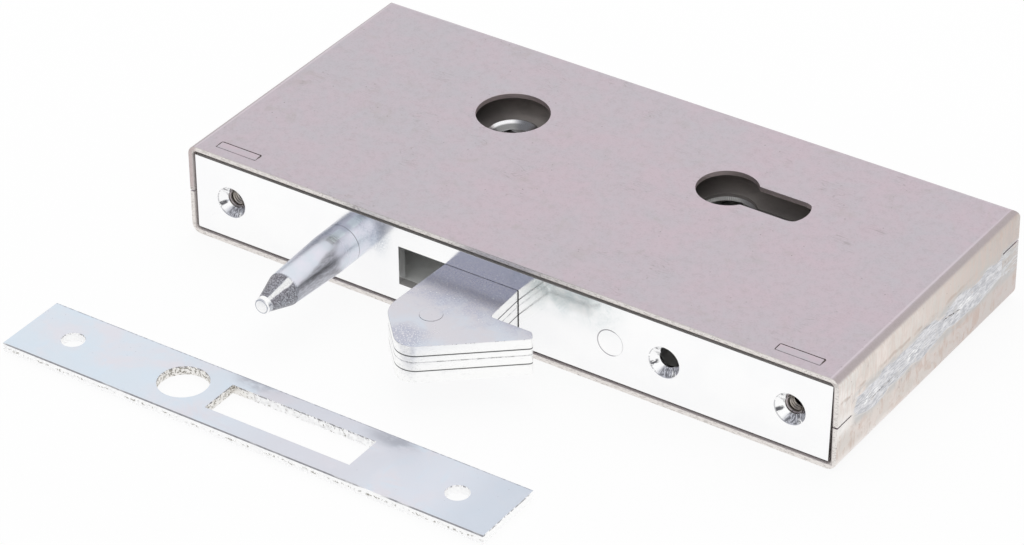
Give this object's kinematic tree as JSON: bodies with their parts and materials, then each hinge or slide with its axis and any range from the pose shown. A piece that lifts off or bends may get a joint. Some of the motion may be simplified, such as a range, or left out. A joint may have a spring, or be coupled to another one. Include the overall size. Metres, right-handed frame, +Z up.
{
  "type": "sliding gate hook lock",
  "caption": "Hook lock for a sliding gate: welded sheet case, laminated swinging hook, guide pin, spindle and cylinder openings, and a loose slotted strike plate.",
  "frame": {"origin": "centre of the case's underside", "axes": "+X along the forend towards the hook's nose, -Y out of the forend, +Z up with the case lying flat"},
  "size_m": [0.2186, 0.1757, 0.029],
  "materials": {
    "raw_steel": "raw cold rolled sheet, faint scratches",
    "weld_metal": "ground weld with heat tint",
    "bright_zinc": "bright zinc plated",
    "turned_zinc": "turned and zinc plated",
    "hook_zinc": "zinc plated stampings, satin",
    "body_steel": "zinc plated sheet",
    "pin_steel": "turned",
    "lever_steel": "blanked, zinc plated",
    "spring_steel": "spring wire",
    "strike_zinc": "zinc plated, matt grain"
  },
  "bodies": {
    "case": {"upper_shell": "raw_steel", "lower_shell": "raw_steel", "right_seam_weld": "weld_metal", "left_seam_weld": "weld_metal", "back_seam_weld": "weld_metal", "left_bracket": "raw_steel", "right_bracket": "raw_steel", "forend": "bright_zinc", "forend_rivet": "bright_zinc", "guide_pin": "turned_zinc", "guide_pin_block": "body_steel", "rivet_block": "body_steel", "lock_tray": "body_steel", "lock_cover": "body_steel", "cover_posts": "pin_steel", "cover_screws": "pin_steel", "hook_pivot_pin": "pin_steel", "spring_post": "pin_steel", "slide_guide_pins": "pin_steel", "tumbler_pin": "pin_steel", "hook_spring": "spring_steel", "tumbler_spring": "spring_steel"},
    "hook": {"hook_plate_bottom": "hook_zinc", "hook_plate_low": "hook_zinc", "hook_plate_high": "hook_zinc", "hook_plate_top": "hook_zinc", "hook_rivets": "hook_zinc"},
    "follower": {"follower": "lever_steel"},
    "slide": {"locking_slide": "lever_steel", "drive_pin": "pin_steel", "slide_stump": "pin_steel"},
    "tumbler": {"tumbler_lever": "lever_steel"},
    "strike": {"strike_plate": "strike_zinc"}
  },
  "joints": [
    {"name": "hook_swing", "type": "hinge", "parent": "case", "child": "hook", "pos_m": [-0.006, -0.0045, 0.0141], "axis": [0, 0, 1], "range_deg": [-16, 0], "stiffness_Nm_per_rad": 0.4, "springref_deg": 22.92},
    {"name": "follower_turn", "type": "hinge", "parent": "case", "child": "follower", "pos_m": [-0.0386, 0.0148, 0.0141], "axis": [0, 0, 1], "range_deg": [0, 28.2]},
    {"name": "slide_travel", "type": "slide", "parent": "case", "child": "slide", "axis": [1, 0, 0], "range_m": [0, 0.0098], "deforming": ["hook_spring"]},
    {"name": "tumbler_lift", "type": "hinge", "parent": "case", "child": "tumbler", "pos_m": [0.054, 0.0341, 0.0147], "axis": [0, 0, 1], "range_deg": [-7.1, 0], "deforming": ["tumbler_spring"]},
    {"name": "strike_lift", "type": "slide", "parent": "case", "child": "strike", "axis": [0, 0, 1], "range_m": [0, 0.1]}
  ],
  "couplings": [
    {"joint": "follower_turn", "follows": "hook_swing", "ratio": -1.7536},
    {"joint": "slide_travel", "follows": "hook_swing", "m_per_rad": -0.034887},
    {"joint": "tumbler_lift", "follows": "hook_swing", "ratio": 0.4375}
  ]
}
